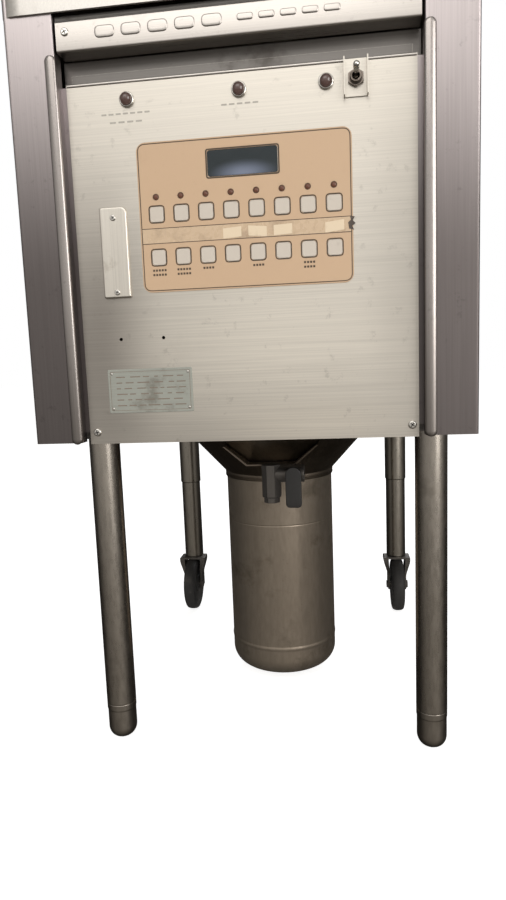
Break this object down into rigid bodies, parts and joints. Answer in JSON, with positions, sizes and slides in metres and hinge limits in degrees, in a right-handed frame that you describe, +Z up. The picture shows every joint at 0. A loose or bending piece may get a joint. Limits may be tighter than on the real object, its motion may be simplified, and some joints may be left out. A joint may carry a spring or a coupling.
{
  "type": "pressure fryer",
  "caption": "Floor-standing electric pressure fryer: steel cabinet on legs and casters, recessed keypad panel, latching lid with handwheel, and a crumb pot hanging under a drained cone.",
  "frame": {"origin": "on the floor, under the middle of the bounding box", "axes": "-Y is the operator side with the control panel, +X is to the operator's right, +Z is up"},
  "size_m": [0.463, 0.7458, 1.1],
  "materials": {
    "stainless": "brushed, slightly soiled",
    "panel_steel": "satin",
    "tube_steel": "stained satin",
    "pot_steel": "oil-stained satin",
    "dark_steel": "dark and oily",
    "cast_aluminium": "as cast, wiped",
    "chrome": "polished",
    "brass": "satin",
    "overlay_film": "textured film",
    "key_film": "textured film",
    "window_plastic": "smoked gloss",
    "lens_plastic": "unlit lens",
    "black_plastic": "moulded",
    "tyre_rubber": "hard tread",
    "seal_rubber": "moulded seal"
  },
  "bodies": {
    "cabinet": {"left_side_panel": "stainless", "right_side_panel": "stainless", "back_panel": "stainless", "top_deck": "stainless", "header_strip": "stainless", "left_edge_trim": "stainless", "right_edge_trim": "stainless", "switch_guard": "stainless", "cover_plate": "stainless", "collector_clamp": "stainless", "lid_hinge_bracket": "stainless", "exhaust_riser": "stainless", "pressure_gauge": "stainless", "control_panel": "panel_steel", "base_frame": "dark_steel", "keypad_overlay": "overlay_film", "display_window": "window_plastic", "lamp_left": "lens_plastic", "lamp_centre": "lens_plastic", "lamp_right": "lens_plastic", "toggle_bushing": "chrome", "front_leg_left": "tube_steel", "rear_leg_left": "tube_steel", "front_leg_right": "tube_steel", "rear_leg_right": "tube_steel", "fry_vessel": "pot_steel", "vessel_skirt": "pot_steel", "collector": "pot_steel", "latch_bracket": "stainless", "drain_valve": "dark_steel", "relief_valve": "brass"},
    "toggle_lever": {"toggle_lever": "chrome"},
    "lid_arm": {"lid_arm": "cast_aluminium"},
    "lid": {"lid": "cast_aluminium", "lid_gasket": "seal_rubber"},
    "spindle_handwheel": {"spindle_handwheel": "black_plastic"},
    "front_latch": {"front_latch": "stainless"},
    "drain_handle": {"drain_handle": "black_plastic"},
    "key_1_1": {"key_1_1": "key_film"},
    "key_1_2": {"key_1_2": "key_film"},
    "key_1_3": {"key_1_3": "key_film"},
    "key_1_4": {"key_1_4": "key_film"},
    "key_1_5": {"key_1_5": "key_film"},
    "key_1_6": {"key_1_6": "key_film"},
    "key_1_7": {"key_1_7": "key_film"},
    "key_1_8": {"key_1_8": "key_film"},
    "key_2_1": {"key_2_1": "key_film"},
    "key_2_2": {"key_2_2": "key_film"},
    "key_2_3": {"key_2_3": "key_film"},
    "key_2_4": {"key_2_4": "key_film"},
    "key_2_5": {"key_2_5": "key_film"},
    "key_2_6": {"key_2_6": "key_film"},
    "key_2_7": {"key_2_7": "key_film"},
    "key_2_8": {"key_2_8": "key_film"},
    "front_foot_left": {"front_foot_left": "tube_steel"},
    "caster_fork_left": {"caster_fork_left": "dark_steel"},
    "caster_wheel_left": {"caster_wheel_left": "tyre_rubber"},
    "front_foot_right": {"front_foot_right": "tube_steel"},
    "caster_fork_right": {"caster_fork_right": "dark_steel"},
    "caster_wheel_right": {"caster_wheel_right": "tyre_rubber"}
  },
  "joints": [
    {"name": "key_1_1_press", "type": "slide", "parent": "cabinet", "child": "key_1_1", "axis": [0, 1, 0], "range_m": [0, 0.0005], "stiffness_N_per_m": 1500},
    {"name": "key_1_2_press", "type": "slide", "parent": "cabinet", "child": "key_1_2", "axis": [0, 1, 0], "range_m": [0, 0.0005], "stiffness_N_per_m": 1500},
    {"name": "key_1_3_press", "type": "slide", "parent": "cabinet", "child": "key_1_3", "axis": [0, 1, 0], "range_m": [0, 0.0005], "stiffness_N_per_m": 1500},
    {"name": "key_1_4_press", "type": "slide", "parent": "cabinet", "child": "key_1_4", "axis": [0, 1, 0], "range_m": [0, 0.0005], "stiffness_N_per_m": 1500},
    {"name": "key_1_5_press", "type": "slide", "parent": "cabinet", "child": "key_1_5", "axis": [0, 1, 0], "range_m": [0, 0.0005], "stiffness_N_per_m": 1500},
    {"name": "key_1_6_press", "type": "slide", "parent": "cabinet", "child": "key_1_6", "axis": [0, 1, 0], "range_m": [0, 0.0005], "stiffness_N_per_m": 1500},
    {"name": "key_1_7_press", "type": "slide", "parent": "cabinet", "child": "key_1_7", "axis": [0, 1, 0], "range_m": [0, 0.0005], "stiffness_N_per_m": 1500},
    {"name": "key_1_8_press", "type": "slide", "parent": "cabinet", "child": "key_1_8", "axis": [0, 1, 0], "range_m": [0, 0.0005], "stiffness_N_per_m": 1500},
    {"name": "key_2_1_press", "type": "slide", "parent": "cabinet", "child": "key_2_1", "axis": [0, 1, 0], "range_m": [0, 0.0005], "stiffness_N_per_m": 1500},
    {"name": "key_2_2_press", "type": "slide", "parent": "cabinet", "child": "key_2_2", "axis": [0, 1, 0], "range_m": [0, 0.0005], "stiffness_N_per_m": 1500},
    {"name": "key_2_3_press", "type": "slide", "parent": "cabinet", "child": "key_2_3", "axis": [0, 1, 0], "range_m": [0, 0.0005], "stiffness_N_per_m": 1500},
    {"name": "key_2_4_press", "type": "slide", "parent": "cabinet", "child": "key_2_4", "axis": [0, 1, 0], "range_m": [0, 0.0005], "stiffness_N_per_m": 1500},
    {"name": "key_2_5_press", "type": "slide", "parent": "cabinet", "child": "key_2_5", "axis": [0, 1, 0], "range_m": [0, 0.0005], "stiffness_N_per_m": 1500},
    {"name": "key_2_6_press", "type": "slide", "parent": "cabinet", "child": "key_2_6", "axis": [0, 1, 0], "range_m": [0, 0.0005], "stiffness_N_per_m": 1500},
    {"name": "key_2_7_press", "type": "slide", "parent": "cabinet", "child": "key_2_7", "axis": [0, 1, 0], "range_m": [0, 0.0005], "stiffness_N_per_m": 1500},
    {"name": "key_2_8_press", "type": "slide", "parent": "cabinet", "child": "key_2_8", "axis": [0, 1, 0], "range_m": [0, 0.0005], "stiffness_N_per_m": 1500},
    {"name": "power_switch", "type": "hinge", "parent": "cabinet", "child": "toggle_lever", "pos_m": [0.115, -0.35282, 0.7493], "axis": [1, 0, 0], "range_deg": [0, 26]},
    {"name": "front_foot_left_screw", "type": "slide", "parent": "cabinet", "child": "front_foot_left", "axis": [0, 0, -1], "range_m": [0, 0.019]},
    {"name": "caster_fork_left_swivel", "type": "hinge", "parent": "cabinet", "child": "caster_fork_left", "pos_m": [-0.201, 0.24648, 0.104], "axis": [0, 0, 1], "continuous": true},
    {"name": "caster_wheel_left_spin", "type": "hinge", "parent": "caster_fork_left", "child": "caster_wheel_left", "pos_m": [-0.201, 0.22848, 0.05], "axis": [1, 0, 0], "continuous": true},
    {"name": "front_foot_right_screw", "type": "slide", "parent": "cabinet", "child": "front_foot_right", "axis": [0, 0, -1], "range_m": [0, 0.019]},
    {"name": "caster_fork_right_swivel", "type": "hinge", "parent": "cabinet", "child": "caster_fork_right", "pos_m": [0.201, 0.24648, 0.104], "axis": [0, 0, 1], "continuous": true},
    {"name": "caster_wheel_right_spin", "type": "hinge", "parent": "caster_fork_right", "child": "caster_wheel_right", "pos_m": [0.201, 0.22848, 0.05], "axis": [1, 0, 0], "continuous": true},
    {"name": "drain_turn", "type": "hinge", "parent": "cabinet", "child": "drain_handle", "pos_m": [0.0325, -0.17532, 0.3375], "axis": [0, 1, 0], "range_deg": [0, 90]},
    {"name": "lid_arm_hinge", "type": "hinge", "parent": "cabinet", "child": "lid_arm", "pos_m": [0, 0.21048, 0.917], "axis": [-1, 0, 0], "range_deg": [0, 80]},
    {"name": "lid_lift", "type": "slide", "parent": "lid_arm", "child": "lid", "axis": [0, 0, 1], "range_m": [0, 0.008]},
    {"name": "spindle_turn", "type": "hinge", "parent": "lid", "child": "spindle_handwheel", "pos_m": [0, -0.01452, 0.998], "axis": [0, 0, 1], "range_deg": [0, 720]},
    {"name": "latch_swing", "type": "hinge", "parent": "cabinet", "child": "front_latch", "pos_m": [0, -0.28452, 0.89], "axis": [-1, 0, 0], "range_deg": [0, 35]}
  ],
  "couplings": [
    {"joint": "lid_lift", "follows": "spindle_turn", "m_per_rad": 0.000636}
  ]
}
